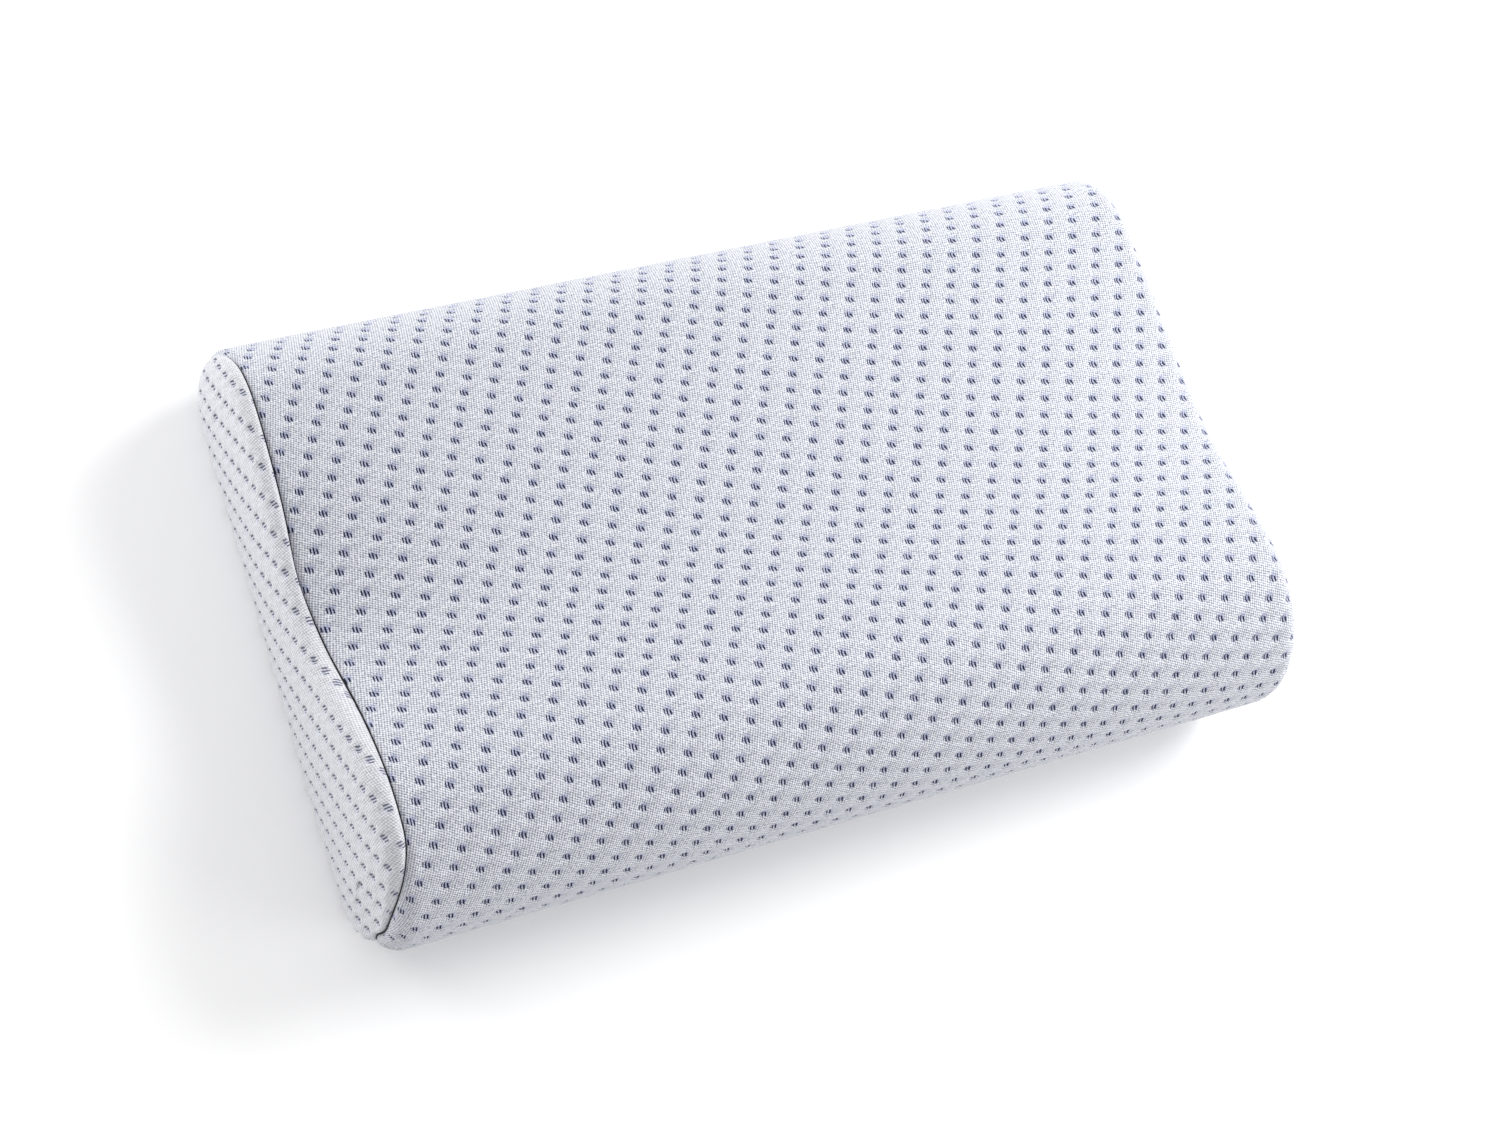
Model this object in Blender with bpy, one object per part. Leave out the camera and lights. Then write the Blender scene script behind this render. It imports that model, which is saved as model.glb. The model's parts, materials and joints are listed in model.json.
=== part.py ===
"""Contour memory foam bed pillow in a fitted, zipped knit cover.

Metres, +Z up.  +X runs along the length, +Y to the back, where the low lobe is.  The origin is
under the middle of the underside.  One section outline in the Y-Z plane is carried along X, and
every layer is that outline pushed out by its own offset: foam, inner cover, outer cover.  The
concealed zip follows the same outline in the lower rear edge.
"""
import bpy
import bmesh
import numpy as np

# Foam core
FOAM_LENGTH = 0.500
FOAM_DEPTH = 0.296
FRONT_LOBE_HEIGHT = 0.095
BACK_LOBE_HEIGHT = 0.070
DIP_HEIGHT = 0.057
FRONT_CREST_SETBACK = 0.056     # the high crest behind the foremost point
BACK_CREST_SETBACK = 0.037      # the low crest ahead of the rearmost point
DIP_SETBACK = 0.143             # the neck dip ahead of the rearmost point
FRONT_NOSE_HEIGHT = 0.044       # the foremost point above the foam's underside
BACK_NOSE_HEIGHT = 0.032
FRONT_HEEL = 0.034              # how far the flat underside starts behind the foremost point
BACK_HEEL = 0.027
FOAM_EDGE_RADIUS = 0.008        # round between the section and the end faces

# Fabrics and clearances
CLEARANCE = 0.0003              # between two pieces that touch
INNER_COVER_THICKNESS = 0.0006
PANEL_THICKNESS = 0.0030        # air-layer knit, two faces with spacer yarn between
TAPE_THICKNESS = 0.0005
INNER_SLIT_LENGTH = 0.300       # closing slit of the inner cover
INNER_SLIT_WIDTH = 0.002
INNER_SLIT_HEIGHT = 0.045       # its middle above the foam's underside, at the rear
END_SEAM_INSET = 0.006          # end seams ahead of the foam's end faces
FRONT_SEAM_HEIGHT = 0.010       # top panel to bottom panel, above the foam's underside
SEAM_GAP = 0.0004

# Zip
ZIP_HEIGHT = 0.018              # middle of the zip above the foam's underside, at the rear
ZIP_END_MARGIN = 0.014          # from the end seams to the coils
TAPE_WIDTH = 0.012              # one tape, from the middle of the zip
TAPE_INNER_EDGE = 0.0010        # half the slot between the tapes
TAPE_RUNOUT = 0.008             # over which the cover comes down beyond the tape's edge
COIL_SLOT = 0.0014              # between the two coils, for the slider's web
COIL_WIDTH = 0.0026
COIL_HEIGHT = 0.0020
PLATE_THICKNESS = 0.0012        # slider plates
SLIDER_LENGTH = 0.0110
FLANGE_WIDTH = 0.0011
PANEL_ZIP_GAP = 0.0002          # beyond the clearance, from slider flange to panel edge
STOP_LENGTH = 0.0025
CROWN_LENGTH = 0.0076
CROWN_WIDTH = 0.0018
CROWN_HEIGHT = 0.0031
CROWN_WALL = 0.0011
TAB_LENGTH = 0.024
TAB_WIDTH = 0.0056
TAB_THICKNESS = 0.0012
TAB_BAR = 0.0013                # width of the tab's cross bar and side arms
TAB_EYE_LENGTH = 0.0052

# How finely the section is divided
SECTION_POINTS = 96
DENSE_POINTS = 400              # per stretch of the outline before it is re-divided
EDGE_STEPS = 4                  # steps in each rounded end edge
TAPE_STEPS = 5                  # places across one tape
ACROSS_STEP = 0.0012            # longest straight edge across the zip's own parts
SAME_STATION = 0.00005          # nearer stations are one

# Heights of the layers above the foam, in the order that they lie
INNER_COVER_IN = CLEARANCE
INNER_COVER_OUT = INNER_COVER_IN + INNER_COVER_THICKNESS
COVER_IN = INNER_COVER_OUT + CLEARANCE
INNER_PLATE_IN = COVER_IN
INNER_PLATE_OUT = INNER_PLATE_IN + PLATE_THICKNESS
TAPE_IN = INNER_PLATE_OUT + CLEARANCE
TAPE_OUT = TAPE_IN + TAPE_THICKNESS
COIL_IN = TAPE_OUT + CLEARANCE
COIL_OUT = COIL_IN + COIL_HEIGHT
OUTER_PLATE_IN = COIL_OUT + CLEARANCE
OUTER_PLATE_OUT = OUTER_PLATE_IN + PLATE_THICKNESS
TAB_AXIS_HEIGHT = OUTER_PLATE_OUT + (CROWN_HEIGHT - CROWN_WALL) / 2

# Places across the zip, from its middle
COIL_INNER_EDGE = COIL_SLOT / 2
COIL_OUTER_EDGE = COIL_INNER_EDGE + COIL_WIDTH
FLANGE_IN = COIL_OUTER_EDGE + CLEARANCE
FLANGE_OUT = FLANGE_IN + FLANGE_WIDTH
PANEL_EDGE = FLANGE_OUT + CLEARANCE + PANEL_ZIP_GAP
WEB_HALF = COIL_INNER_EDGE - CLEARANCE

# Places along the length
END_SEAM_X = FOAM_LENGTH / 2 - END_SEAM_INSET
PANEL_END_X = END_SEAM_X - SEAM_GAP
COIL_END_X = END_SEAM_X - ZIP_END_MARGIN
SLIDER_REST_X = -(COIL_END_X - SLIDER_LENGTH / 2 - CLEARANCE)

UNDERSIDE = COVER_IN + PANEL_THICKNESS      # the foam's underside stands this high
FOREMOST = -FOAM_DEPTH / 2
REARMOST = FOAM_DEPTH / 2


def quarter(y0, z0, y1, z1, leaves_flat):
    """A quarter ellipse from (y0, z0) to (y1, z1), level at one end and upright at the other."""
    turn = np.linspace(0, np.pi / 2, DENSE_POINTS)
    if leaves_flat:
        return y0 + (y1 - y0) * np.sin(turn), z0 + (z1 - z0) * (1 - np.cos(turn))
    return y0 + (y1 - y0) * (1 - np.cos(turn)), z0 + (z1 - z0) * np.sin(turn)


def swell(y0, z0, y1, z1):
    """Half a cosine wave from (y0, z0) to (y1, z1), level at both ends."""
    part = np.linspace(0, 1, DENSE_POINTS)
    return y0 + (y1 - y0) * part, z0 + (z1 - z0) * (1 - np.cos(np.pi * part)) / 2


def line(y0, z0, y1, z1):
    """A straight run."""
    part = np.linspace(0, 1, DENSE_POINTS)
    return y0 + (y1 - y0) * part, z0 + (z1 - z0) * part


def foam_outline():
    """The foam's section, from the middle of the underside to the front, over and back.

    Returns arc positions, points and outward normals of the closed outline.
    """
    front_crest = FOREMOST + FRONT_CREST_SETBACK
    back_crest = REARMOST - BACK_CREST_SETBACK
    dip = REARMOST - DIP_SETBACK
    stretches = [
        line(0, 0, FOREMOST + FRONT_HEEL, 0),
        quarter(FOREMOST + FRONT_HEEL, 0, FOREMOST, FRONT_NOSE_HEIGHT, True),
        quarter(FOREMOST, FRONT_NOSE_HEIGHT, front_crest, FRONT_LOBE_HEIGHT, False),
        swell(front_crest, FRONT_LOBE_HEIGHT, dip, DIP_HEIGHT),
        swell(dip, DIP_HEIGHT, back_crest, BACK_LOBE_HEIGHT),
        quarter(back_crest, BACK_LOBE_HEIGHT, REARMOST, BACK_NOSE_HEIGHT, True),
        quarter(REARMOST, BACK_NOSE_HEIGHT, REARMOST - BACK_HEEL, 0, False),
        line(REARMOST - BACK_HEEL, 0, 0, 0),
    ]
    points = np.vstack([np.column_stack(s)[:-1] for s in stretches])
    points = np.vstack([points, points[:1]])
    steps = np.diff(points, axis=0)
    lengths = np.hypot(*steps.T)
    arc = np.concatenate([[0], np.cumsum(lengths)])
    along = steps / lengths[:, None]
    mean = np.vstack([along[-1:] + along[:1], along[1:] + along[:-1], along[-1:] + along[:1]])
    mean /= np.hypot(*mean.T)[:, None]
    normals = np.column_stack([-mean[:, 1], mean[:, 0]])
    return arc, points + [0, UNDERSIDE], normals


ARC, OUTLINE, NORMALS = foam_outline()
PERIMETER = ARC[-1]


def section(arcs, offsets):
    """Points of the section at the given arc positions, pushed outwards by the offsets."""
    wrapped = np.mod(arcs, PERIMETER)
    point = np.column_stack([np.interp(wrapped, ARC, OUTLINE[:, k]) for k in (0, 1)])
    normal = np.column_stack([np.interp(wrapped, ARC, NORMALS[:, k]) for k in (0, 1)])
    normal /= np.hypot(*normal.T)[:, None]
    return point + normal * np.broadcast_to(offsets, wrapped.shape)[:, None]


def arc_at_height(height, first, last):
    """Arc position of a height above the foam's underside, between two of the stretches."""
    part = slice(first * (DENSE_POINTS - 1), last * (DENSE_POINTS - 1))
    heights, arcs = OUTLINE[part, 1] - UNDERSIDE, ARC[part]
    order = np.argsort(heights)
    return np.interp(height, heights[order], arcs[order])


FRONT_SEAM = arc_at_height(FRONT_SEAM_HEIGHT, 1, 3)
ZIP_MIDDLE = arc_at_height(ZIP_HEIGHT, 5, 7)
SLIT_MIDDLE = arc_at_height(INNER_SLIT_HEIGHT, 5, 7)


def centre_outline():
    """Move the outline along Y so that the whole part, slider crown included, is centred."""
    crown = section(ZIP_MIDDLE + np.array([-CROWN_WIDTH / 2, CROWN_WIDTH / 2]),
                    OUTER_PLATE_OUT + CROWN_HEIGHT)
    cover = section(stations(0, PERIMETER), COVER_IN + PANEL_THICKNESS)
    OUTLINE[:, 0] -= (cover[:, 0].min() + max(cover[:, 0].max(), crown[:, 0].max())) / 2


def fall(arcs, start, end):
    """1 up to start from the zip's middle and 0 beyond end, with half a cosine wave between."""
    across = np.abs(np.mod(arcs - ZIP_MIDDLE + PERIMETER / 2, PERIMETER) - PERIMETER / 2)
    part = np.clip((across - start) / (end - start), 0, 1)
    return (1 + np.cos(np.pi * part)) / 2


def tape_offset(arcs):
    """The tape's inner face: it drops from the slider's plate to the inner cover."""
    return COVER_IN + (TAPE_IN - COVER_IN) * fall(arcs, PANEL_EDGE, TAPE_WIDTH)


def cover_offset(arcs):
    """The outer cover's inner face: on the tape near the zip, on the inner cover elsewhere."""
    over_tape = (TAPE_THICKNESS + CLEARANCE) * fall(arcs, TAPE_WIDTH, TAPE_WIDTH + TAPE_RUNOUT)
    return tape_offset(arcs) + over_tape


def stations(start, end, across=()):
    """Arc positions from start to end: those common to all layers, and places on the zip."""
    step = PERIMETER / SECTION_POINTS
    common = step * np.arange(np.ceil(start / step), end / step)
    places = ZIP_MIDDLE + np.asarray(across)
    inside = places[(places > start) & (places < end)]
    merged = np.sort(np.concatenate([[start, end], common, inside]))
    return merged[np.concatenate([[True], np.diff(merged) > SAME_STATION])]


def zip_places(side):
    """Places across the zip at which the tape and the panel over it are divided."""
    on_tape = np.linspace(PANEL_EDGE, TAPE_WIDTH, TAPE_STEPS)
    beyond = np.linspace(TAPE_WIDTH, TAPE_WIDTH + TAPE_RUNOUT, TAPE_STEPS)
    return side * np.concatenate([on_tape, beyond[1:]])


centre_outline()


def material(name, colour, roughness, metallic=0.0):
    """A Principled material of one colour."""
    made = bpy.data.materials.new(name)
    made.use_nodes = True
    shader = made.node_tree.nodes["Principled BSDF"]
    shader.inputs["Base Color"].default_value = (*colour, 1)
    shader.inputs["Roughness"].default_value = roughness
    shader.inputs["Metallic"].default_value = metallic
    return made


def add(name, points, faces, finish, origin=(0, 0, 0)):
    """An object from points and faces, with its origin where it turns or slides."""
    mesh = bpy.data.meshes.new(name)
    points = np.asarray(points) - origin
    mesh.from_pydata(points.tolist(), [], [list(map(int, face)) for face in faces])
    mesh.materials.append(finish)
    mesh.shade_smooth()
    mesh.set_sharp_from_angle(angle=np.radians(40))
    made = bpy.data.objects.new(name, mesh)
    made.location = origin
    bpy.context.collection.objects.link(made)
    return made


def ring_faces(rings, around, skip=()):
    """Quads between rings that lie along +X, each clockwise when seen from +X."""
    faces = []
    for ring in range(rings - 1):
        here, there = ring * around, (ring + 1) * around
        for k in range(around):
            after = (k + 1) % around
            if (ring, k) not in skip:
                faces.append((here + k, there + k, there + after, here + after))
    return faces


def end_caps(rings, around):
    """The two faces that close a stack of rings."""
    last = (rings - 1) * around
    return [tuple(range(around)), tuple(range(last, last + around))[::-1]]


def stack(xs, sections):
    """3-D points of sections placed at the stations xs, one ring after another."""
    return np.vstack([np.column_stack([np.full(len(s), x), s]) for x, s in zip(xs, sections)])


def flip(faces):
    """The same faces seen from the other side."""
    return [face[::-1] for face in faces]


def strip(name, arcs, inner, outer, x1, finish, x0=None):
    """A curved strip along X, from x0 (or -x1) to x1: the section between two offsets."""
    x0 = -x1 if x0 is None else x0
    loop = np.vstack([section(arcs, outer), section(arcs, inner)[::-1]])
    around, count = len(loop), len(arcs)
    faces = ring_faces(2, around)
    for k in range(count - 1):
        near = (k, k + 1, around - 2 - k, around - 1 - k)
        faces.append(near)
        faces.append(tuple(around + i for i in near[::-1]))
    return add(name, stack((x0, x1), (loop, loop)), faces, finish)


def rounded_end(edge_x, radius, skin):
    """Stations and offsets of a rounded end edge; the round starts at edge_x, with offset skin."""
    turn = np.linspace(0, np.pi / 2, EDGE_STEPS + 1)
    return edge_x + radius * np.sin(turn), skin - radius * (1 - np.cos(turn))


def whole_skin(arcs, edge_x, radius, skin):
    """Rings of a closed skin with both ends rounded, from -X to +X."""
    xs, offsets = rounded_end(edge_x, radius, skin)
    xs = np.concatenate([-xs[::-1], xs])
    offsets = np.concatenate([offsets[::-1], offsets])
    return xs, [section(arcs, offset) for offset in offsets]


def foam_core(finish):
    """The moulded foam: the section carried along X, with rounded end edges."""
    arcs = stations(0, PERIMETER)[:-1]
    xs, sections = whole_skin(arcs, FOAM_LENGTH / 2 - FOAM_EDGE_RADIUS, FOAM_EDGE_RADIUS, 0)
    faces = ring_faces(len(xs), len(arcs)) + end_caps(len(xs), len(arcs))
    return add("foam_core", stack(xs, sections), faces, finish)


def inner_cover(finish):
    """A thin bag around the foam, open at a slit along the rear."""
    half = INNER_SLIT_WIDTH / 2
    arcs = stations(SLIT_MIDDLE + half, SLIT_MIDDLE - half + PERIMETER)
    around = len(arcs)
    edge_x = FOAM_LENGTH / 2 - FOAM_EDGE_RADIUS
    points, faces, corners = [], [], []
    for skin in (INNER_COVER_OUT, INNER_COVER_IN):
        xs, sections = whole_skin(arcs, edge_x, FOAM_EDGE_RADIUS + skin, skin)
        middle = len(xs) // 2
        xs = np.concatenate([xs[:middle], [-INNER_SLIT_LENGTH / 2, INNER_SLIT_LENGTH / 2],
                             xs[middle:]])
        sections = sections[:middle] + [sections[middle]] * 2 + sections[middle:]
        base = sum(len(p) for p in points)
        skin_faces = ring_faces(len(xs), around, skip={(middle, around - 1)})
        skin_faces += end_caps(len(xs), around)
        if skin == INNER_COVER_IN:
            skin_faces = flip(skin_faces)
        faces += [tuple(base + i for i in face) for face in skin_faces]
        points.append(stack(xs, sections))
        low = base + middle * around
        high = low + around
        corners.append((low + around - 1, high + around - 1, high, low))
    for k in range(4):
        after = (k + 1) % 4
        faces.append((corners[0][k], corners[0][after], corners[1][after], corners[1][k]))
    return add("inner_cover", np.vstack(points), faces, finish)


def top_panel(finish):
    """The wrap panel, from the front seam over the lobes to the zip."""
    arcs = stations(FRONT_SEAM + SEAM_GAP / 2, ZIP_MIDDLE - PANEL_EDGE, zip_places(-1))
    inner = cover_offset(arcs)
    return strip("top_panel", arcs, inner, inner + PANEL_THICKNESS, PANEL_END_X, finish)


def bottom_panel(finish):
    """The base panel, from the zip under the foam to the front seam."""
    arcs = stations(ZIP_MIDDLE + PANEL_EDGE, PERIMETER + FRONT_SEAM - SEAM_GAP / 2,
                    zip_places(1))
    inner = cover_offset(arcs)
    return strip("bottom_panel", arcs, inner, inner + PANEL_THICKNESS, PANEL_END_X, finish)


def end_panel(name, side, finish):
    """The panel that closes one end: a shallow lid whose rim meets the other panels' edges."""
    arcs = stations(0, PERIMETER)[:-1]
    depth = END_SEAM_INSET + COVER_IN
    out_x, out_offset = rounded_end(END_SEAM_X, depth + PANEL_THICKNESS,
                                    COVER_IN + PANEL_THICKNESS)
    in_x, in_offset = rounded_end(END_SEAM_X, depth, COVER_IN)
    rings = len(out_x)
    skins = [section(arcs, offset) for offset in np.concatenate([in_offset[::-1], out_offset])]
    points = stack(np.concatenate([in_x[::-1], out_x]), skins)
    faces = ring_faces(2 * rings, len(arcs)) + end_caps(2 * rings, len(arcs))
    if side < 0:
        points[:, 0] *= -1
        faces = flip(faces)
    return add(name, points, faces, finish)


def zip_tape(name, side, finish):
    """One half of the zip's tape, under the coil and the panel's edge."""
    start, end = np.sort(side * np.array([TAPE_INNER_EDGE, TAPE_WIDTH]))
    arcs = stations(ZIP_MIDDLE + start, ZIP_MIDDLE + end, zip_places(side))
    inner = tape_offset(arcs)
    return strip(name, arcs, inner, inner + TAPE_THICKNESS, PANEL_END_X, finish)


def zip_coil(name, side, finish):
    """One coil of the zip, as the plain bar that its turns fill."""
    arcs = ZIP_MIDDLE + np.sort(side * np.linspace(COIL_INNER_EDGE, COIL_OUTER_EDGE, 3))
    return strip(name, arcs, COIL_IN, COIL_OUT, COIL_END_X, finish)


def zip_stop(name, side, finish):
    """The stop that closes one end of the coils."""
    arcs = ZIP_MIDDLE + np.linspace(-COIL_OUTER_EDGE, COIL_OUTER_EDGE, 5)
    near = COIL_END_X + CLEARANCE
    x0, x1 = sorted((side * near, side * (near + STOP_LENGTH)))
    return strip(name, arcs, COIL_IN, COIL_OUT, x1, finish, x0)


def extruded(name, outline, x0, x1, finish, origin):
    """A closed outline of (across, offset) pairs on the zip, carried from x0 to x1.

    Its long edges are divided, so that they follow the curve of the cover.
    """
    places = []
    for start, end in zip(outline, outline[1:] + outline[:1]):
        pieces = int(np.ceil(abs(end[0] - start[0]) / ACROSS_STEP)) or 1
        places += [start + (np.array(end) - start) * k / pieces for k in range(pieces)]
    across, offset = np.array(places).T
    loop = section(ZIP_MIDDLE + across, offset)
    count = len(loop)
    faces = ring_faces(2, count) + end_caps(2, count)
    return add(name, stack((x0, x1), (loop, loop)), faces, finish, origin)


def zip_point(across, offset, x):
    """A place on the zip in world coordinates."""
    return np.array([x, *section(ZIP_MIDDLE + np.array([across]), offset)[0]])


def boolean(target, tool, operation):
    """A live Boolean with a hidden tool."""
    tool.hide_render = True
    tool.display_type = "WIRE"
    cut = target.modifiers.new(operation.lower(), "BOOLEAN")
    cut.operation = operation
    cut.object = tool
    cut.solver = "EXACT"


def rectangle(half_width, low, high):
    """An outline on the zip, clockwise when seen from +X."""
    return [(-half_width, low), (-half_width, high), (half_width, high), (half_width, low)]


def zip_slider(finish):
    """The slider: two plates and a web with the coils between, and a crown for the tab."""
    half = [
        (FLANGE_OUT, INNER_PLATE_IN), (FLANGE_OUT, INNER_PLATE_OUT), (WEB_HALF, INNER_PLATE_OUT),
        (WEB_HALF, OUTER_PLATE_IN), (FLANGE_IN, OUTER_PLATE_IN), (FLANGE_IN, COIL_IN),
        (FLANGE_OUT, COIL_IN), (FLANGE_OUT, OUTER_PLATE_OUT),
    ]
    outline = [(-across, offset) for across, offset in half] + half[::-1]
    origin = zip_point(0, TAB_AXIS_HEIGHT, SLIDER_REST_X)
    x0, x1 = SLIDER_REST_X - SLIDER_LENGTH / 2, SLIDER_REST_X + SLIDER_LENGTH / 2
    body = extruded("zip_slider_body", outline, x0, x1, finish, origin)
    reach = CROWN_LENGTH / 2
    crown = extruded("crown_form", rectangle(CROWN_WIDTH / 2, OUTER_PLATE_OUT - CROWN_WALL / 2,
                                             OUTER_PLATE_OUT + CROWN_HEIGHT),
                     SLIDER_REST_X - reach, SLIDER_REST_X + reach, finish, origin)
    reach -= CROWN_WALL
    window = extruded("crown_window", rectangle(CROWN_WIDTH, OUTER_PLATE_OUT,
                                                OUTER_PLATE_OUT + CROWN_HEIGHT - CROWN_WALL),
                      SLIDER_REST_X - reach, SLIDER_REST_X + reach, finish, origin)
    boolean(body, crown, "UNION")
    boolean(body, window, "DIFFERENCE")
    return body


def zip_pull_tab(finish):
    """The tab: a flat strap whose eye passes round the crown; it turns on its cross bar."""
    low = TAB_AXIS_HEIGHT - TAB_THICKNESS / 2
    high = TAB_AXIS_HEIGHT + TAB_THICKNESS / 2
    origin = zip_point(0, TAB_AXIS_HEIGHT, SLIDER_REST_X)
    bar_end = SLIDER_REST_X - TAB_BAR / 2
    tab = extruded("zip_pull_tab", rectangle(TAB_WIDTH / 2, low, high),
                   bar_end, bar_end + TAB_LENGTH, finish, origin)
    eye = extruded("tab_eye", rectangle(TAB_WIDTH / 2 - TAB_BAR, low - TAB_THICKNESS,
                                        high + TAB_THICKNESS),
                   bar_end + TAB_BAR, bar_end + TAB_BAR + TAB_EYE_LENGTH, finish, origin)
    boolean(tab, eye, "DIFFERENCE")
    return tab


def main():
    """Clear the scene and build every piece."""
    for old in list(bpy.data.objects):
        bpy.data.objects.remove(old)
    foam = material("moulded_foam", (0.83, 0.79, 0.66), 0.9)
    jersey = material("inner_jersey", (0.80, 0.80, 0.80), 0.9)
    knit = material("air_layer_knit", (0.62, 0.63, 0.68), 0.85)
    tape = material("woven_tape", (0.75, 0.75, 0.77), 0.8)
    nylon = material("nylon_coil", (0.78, 0.78, 0.80), 0.4)
    metal = material("plated_zinc", (0.60, 0.61, 0.63), 0.3, metallic=1.0)
    foam_core(foam)
    inner_cover(jersey)
    top_panel(knit)
    bottom_panel(knit)
    end_panel("end_panel_left", -1, knit)
    end_panel("end_panel_right", 1, knit)
    for name, side in (("upper", -1), ("lower", 1)):
        zip_tape("zip_tape_" + name, side, tape)
        zip_coil("zip_coil_" + name, side, nylon)
    zip_stop("zip_stop_closed_end", -1, nylon)
    zip_stop("zip_stop_open_end", 1, nylon)
    zip_slider(metal)
    zip_pull_tab(metal)


main()
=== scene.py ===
import json

import bmesh
import bpy
import numpy as np
from mathutils import Matrix, Vector

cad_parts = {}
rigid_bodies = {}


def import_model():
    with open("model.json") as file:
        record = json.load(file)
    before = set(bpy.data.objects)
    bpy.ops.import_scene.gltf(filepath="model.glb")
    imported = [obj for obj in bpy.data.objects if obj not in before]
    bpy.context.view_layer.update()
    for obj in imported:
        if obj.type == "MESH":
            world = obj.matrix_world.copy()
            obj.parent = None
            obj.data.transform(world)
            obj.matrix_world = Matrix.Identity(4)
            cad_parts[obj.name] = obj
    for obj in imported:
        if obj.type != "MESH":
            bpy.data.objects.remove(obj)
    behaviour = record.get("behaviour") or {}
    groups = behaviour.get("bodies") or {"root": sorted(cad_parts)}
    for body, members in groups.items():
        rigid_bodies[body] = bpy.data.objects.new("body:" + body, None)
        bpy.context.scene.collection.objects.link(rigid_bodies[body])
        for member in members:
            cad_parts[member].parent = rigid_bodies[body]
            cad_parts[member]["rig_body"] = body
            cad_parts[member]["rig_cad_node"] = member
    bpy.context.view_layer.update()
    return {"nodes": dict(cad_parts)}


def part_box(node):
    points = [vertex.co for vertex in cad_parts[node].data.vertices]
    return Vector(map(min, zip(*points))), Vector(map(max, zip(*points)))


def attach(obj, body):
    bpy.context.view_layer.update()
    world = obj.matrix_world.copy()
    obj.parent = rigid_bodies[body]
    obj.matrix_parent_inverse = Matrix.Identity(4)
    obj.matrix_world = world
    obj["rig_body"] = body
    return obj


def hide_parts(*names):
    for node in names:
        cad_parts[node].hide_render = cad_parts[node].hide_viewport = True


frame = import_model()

MM = 0.001
TAU = 2 * np.pi

# ---- Cloth sizes -------------------------------------------------------------------------------
KNIT_GRID = 1.2 * MM            # spacing of the outer side's vertices
BACKING_STEP = 4                # the plain back of a panel has one vertex for this many outer ones
KNIT_THICKNESS = 2.8 * MM
SEAM_FLOOR = 1.5 * MM           # outer side of the knit in a seam, above the foam
SEAM_ROLL = 5.5 * MM            # how far from a seam the knit starts to roll into it
SEAM_WIDTH = 0.9 * MM
HEM_RISE = 2.3 * MM             # the folded edges beside the zip stand up over its tape,
HEM_RUN = 8 * MM                # rise to that within this distance of the edge,
HEM_ROLL = 1.4 * MM             # and are rounded by this much
HEM_MEET = 4.6 * MM             # past the zip's ends each hem comes this much nearer the other
TAUTNESS = 0.9                  # how nearly the cover spans the dip in a straight line
LEFT_TAUTNESS = 0.0             # the same at the left seam, which is sewn close to the foam,
RIGHT_TAUTNESS = 0.6            # and at the right end, where the cover is drawn over the edge
END_HOLD = 50 * MM              # how far from an end its seam still holds the cover down
RIGHT_WRAP = np.radians(74)     # how far the top and bottom go round the right edge to their seam
EDGE_STRETCH = 0.3              # how much thinner the cover is drawn where it goes round an edge
LEFT_HOOK = 15 * MM             # how much further round the edge the left seam runs at the front
REAR_HOOK = 0.4                 # nose, and its share of that at the rear nose
SEAM_WANDER = 2.4 * MM          # how far the left seam swells out and in on top
SEAM_PULL = 30 * MM             # how far from the left seam the cloth moves with it
# An end panel's profile from its seam to its flat face: (reach past the end seam's plane, rise above
# the foam), in mm, for a seam flush with the end and for one that is turned round the edge.
FLUSH_EDGE = [(0.45, 1.5), (0.8, 3.3), (2.8, 4.5), (6.0, 3.6), (9.0, 0.5), (10.6, -5), (11.2, -11)]
TURNED_EDGE = [(7.0, -6.1), (8.6, -6.6), (9.8, -7.6), (10.6, -10), (11.2, -15)]
CROWN = 1.5 * MM                # how far an end panel's middle stands out from its flat face

# ---- The knit's pattern ------------------------------------------------------------------------
# One repeat steps to the next dimple along each of two directions: (across, forwards).
TOP_REPEAT = np.array([(13.3, 4.4), (-4.35, 8.7)]) * MM
END_REPEAT = np.array([(6.4, 5.8), (5.9, -13.2)]) * MM
TOP_MIDDLE = 201.5 * MM         # from the front seam round to the middle of the top panel
TOP_HALF = (250 * MM, 200 * MM) # half the top panel's length and width
DIMPLE_DEPTH = 1.1 * MM
DIMPLE_RADIUS = 2.4 * MM
QUILT_SWELL = 0.22 * MM         # height of each of the three waves between the dimples
PUCKER_PITCH = 5.5 * MM         # the left seam gathers the long panels in small folds across it,
PUCKER_DEPTH = 0.3 * MM         # this deep, and
CORNER_PUCKER = 0.9 * MM        # this much deeper round the rear nose


def vertices(node):
    """The vertices of a CAD node as an (n, 3) array."""
    mesh = frame["nodes"][node].data
    places = np.zeros(len(mesh.vertices) * 3)
    mesh.vertices.foreach_get("co", places)
    return places.reshape(-1, 3)


def ramp(value, low, high):
    """Smooth step: 0 below low, 1 above high, with level ends."""
    t = np.clip((value - low) / (high - low), 0, 1)
    return t * t * (3 - 2 * t)


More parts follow.
